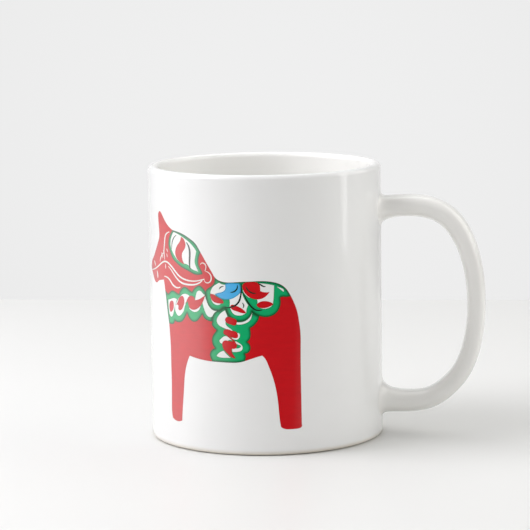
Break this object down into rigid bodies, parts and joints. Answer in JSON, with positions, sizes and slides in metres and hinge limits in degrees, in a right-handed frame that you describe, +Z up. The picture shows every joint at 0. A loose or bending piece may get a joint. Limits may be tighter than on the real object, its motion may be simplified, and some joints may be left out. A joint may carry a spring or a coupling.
{
  "type": "mug",
  "caption": "Straight-sided glazed ceramic mug with a loop handle and a fired-on transfer of a painted folk-art horse wearing a flowered harness.",
  "frame": {"origin": "the cup's axis where it meets the surface that the foot ring stands on", "axes": "+X from the axis towards the handle, +Z up out of the mouth, +Y completes a right-handed frame; the painted horse is centred 114 degrees clockwise from the handle seen from above, on the -Y side"},
  "size_m": [0.1186, 0.0823, 0.096],
  "materials": {
    "clay": "bare fired stoneware, matt and slightly gritty",
    "glaze": "white gloss glaze",
    "enamel_red": "fired-on red enamel under gloss",
    "enamel_green": "fired-on green enamel under gloss",
    "enamel_white": "fired-on white enamel under gloss",
    "enamel_blue": "fired-on sky-blue enamel under gloss",
    "enamel_dark": "fired-on green-black enamel under gloss"
  },
  "bodies": {
    "root": {"cup_body": "clay", "handle": "clay", "upper_slip_joint": "clay", "lower_slip_joint": "clay", "outer_glaze": "glaze", "liner_glaze": "glaze", "foot_well_glaze": "glaze", "handle_glaze": "glaze", "saddle_blue": "enamel_blue", "mane_green": "enamel_green", "collar_green": "enamel_green", "saddle_green": "enamel_green", "girth_green": "enamel_green", "mane_white": "enamel_white", "mane_curls": "enamel_white", "rein": "enamel_white", "headstall": "enamel_white", "throat_strap": "enamel_white", "collar_white": "enamel_white", "saddle_white": "enamel_white", "girth_white": "enamel_white", "horse_coat": "enamel_red", "mane_red": "enamel_red", "collar_red": "enamel_red", "saddle_red": "enamel_red", "girth_red": "enamel_red", "mane_dark_lines": "enamel_dark", "saddle_dark_lines": "enamel_dark"}
  },
  "joints": []
}
